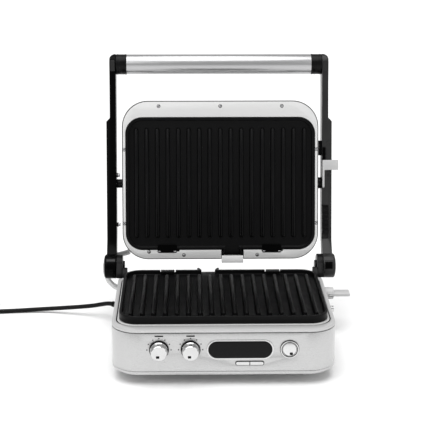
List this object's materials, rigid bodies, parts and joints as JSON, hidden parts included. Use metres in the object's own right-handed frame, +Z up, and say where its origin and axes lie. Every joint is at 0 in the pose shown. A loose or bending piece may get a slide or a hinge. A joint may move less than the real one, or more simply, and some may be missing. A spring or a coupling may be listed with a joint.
{
  "type": "contact grill",
  "caption": "Open electric contact grill with ribbed non-stick plates, floating lid on two arms, tube handle, control knobs and a mains cord.",
  "frame": {"origin": "middle of the foot plane, straight below the middle of the lower plate", "axes": "+X to the right seen from the front, +Y to the back, +Z up"},
  "size_m": [0.6655, 0.464, 0.4163],
  "materials": {
    "brushed_steel": "fine horizontal brushing, satin",
    "bezel_steel": "light satin",
    "nonstick": "black non-stick coating on cast aluminium, satin",
    "brushed_aluminium": "brushed round the tube",
    "chrome": "polished",
    "button_metal": "satin",
    "light_plastic": "satin grey",
    "black_plastic": "satin black",
    "arm_black": "semi gloss black",
    "display_glass": "gloss black window",
    "rubber": "matt black",
    "pin_steel": "turned steel",
    "heater_sheath": "dull oxidised",
    "ceramic": "matt ceramic",
    "electronics": "solder mask",
    "brass": "plain"
  },
  "bodies": {
    "base": {"base_wrap": "brushed_steel", "deck_ring": "brushed_steel", "bottom_pan": "brushed_steel", "feet": "rubber", "rear_panel": "black_plastic", "lower_reflector": "bezel_steel", "lower_heater": "heater_sheath", "lower_thermostat": "ceramic", "lower_plate": "nonstick", "display_trim": "chrome", "display_window": "display_glass", "display_module": "electronics", "control_board": "electronics", "start_ring": "chrome", "knob_rings": "black_plastic", "rotary_encoders": "electronics", "left_hinge_bracket": "black_plastic", "right_hinge_bracket": "black_plastic", "hinge_pins": "pin_steel", "heater_conduit": "chrome", "conduit_glands": "black_plastic", "cord_relief": "rubber", "mains_cord": "rubber", "cord_coil": "rubber", "cord_tie": "rubber", "plug_body": "rubber", "plug_pins": "brass"},
    "yoke": {"left_arm": "arm_black", "right_arm": "arm_black", "handle_tube": "brushed_aluminium", "handle_collars": "black_plastic", "hinge_caps": "black_plastic", "lid_pivots": "pin_steel", "lid_pivot_bushes": "black_plastic"},
    "lid": {"lid_shell": "brushed_steel", "lid_bezel": "bezel_steel", "bezel_screws": "pin_steel", "upper_reflector": "bezel_steel", "upper_heater": "heater_sheath", "upper_thermostat": "ceramic", "upper_plate": "nonstick", "upper_spout": "chrome"},
    "upper_latch": {"upper_latch_bar": "black_plastic"},
    "lower_latch": {"lower_latch_bar": "black_plastic"},
    "release_button": {"lower_release_button": "chrome"},
    "lid_lock": {"lid_lock_tab": "light_plastic"},
    "hinge_lock": {"hinge_lock_slider": "black_plastic"},
    "release_lever": {"flat_release_lever": "light_plastic"},
    "tray": {"drip_tray": "black_plastic"},
    "knob_left": {"left_knob": "chrome"},
    "knob_right": {"right_knob": "chrome"},
    "start": {"start_button": "button_metal"},
    "button_left": {"left_small_button": "chrome"},
    "button_right": {"right_small_button": "chrome"}
  },
  "joints": [
    {"name": "yoke_hinge", "type": "hinge", "parent": "base", "child": "yoke", "pos_m": [0, 0.131, 0.092], "axis": [1, 0, 0], "range_deg": [-77.5, 102.5], "deforming": ["heater_conduit"]},
    {"name": "lid_tilt", "type": "hinge", "parent": "yoke", "child": "lid", "pos_m": [0, 0.18474, 0.21427], "axis": [-1, 0, 0], "range_deg": [-6, 0], "deforming": ["heater_conduit"]},
    {"name": "left_knob_turn", "type": "hinge", "parent": "base", "child": "knob_left", "pos_m": [-0.092, -0.13, 0.0547], "axis": [0, -1, 0], "range_deg": [-135, 135]},
    {"name": "right_knob_turn", "type": "hinge", "parent": "base", "child": "knob_right", "pos_m": [-0.0475, -0.13, 0.0547], "axis": [0, -1, 0], "range_deg": [-135, 135]},
    {"name": "release_lever_turn", "type": "hinge", "parent": "base", "child": "release_lever", "pos_m": [0.17, 0.095, 0.058], "axis": [1, 0, 0], "range_deg": [-30, 30]},
    {"name": "start_button_press", "type": "slide", "parent": "base", "child": "start", "axis": [0, 1, 0], "range_m": [0, 0.0015], "stiffness_N_per_m": 400},
    {"name": "left_small_button_press", "type": "slide", "parent": "base", "child": "button_left", "axis": [0, 1, 0], "range_m": [0, 0.001], "stiffness_N_per_m": 300},
    {"name": "right_small_button_press", "type": "slide", "parent": "base", "child": "button_right", "axis": [0, 1, 0], "range_m": [0, 0.001], "stiffness_N_per_m": 300},
    {"name": "release_button_press", "type": "slide", "parent": "base", "child": "release_button", "axis": [-1, 0, 0], "range_m": [0, 0.004], "stiffness_N_per_m": 400},
    {"name": "lower_latch_slide", "type": "slide", "parent": "base", "child": "lower_latch", "axis": [0, 1, 0], "range_m": [0, 0.008]},
    {"name": "upper_latch_slide", "type": "slide", "parent": "lid", "child": "upper_latch", "axis": [0, -0.2164, -0.9763], "range_m": [0, 0.008], "stiffness_N_per_m": 400},
    {"name": "lid_lock_slide", "type": "slide", "parent": "yoke", "child": "lid_lock", "axis": [0, 0.2164, 0.9763], "range_m": [-0.002, 0.018]},
    {"name": "hinge_lock_slide", "type": "slide", "parent": "yoke", "child": "hinge_lock", "axis": [0, 0.2164, 0.9763], "range_m": [-0.008, 0.002]},
    {"name": "tray_slide", "type": "slide", "parent": "base", "child": "tray", "axis": [0, 1, 0], "range_m": [0, 0.12]}
  ],
  "couplings": [
    {"joint": "lower_latch_slide", "follows": "release_button_press", "ratio": 2}
  ]
}
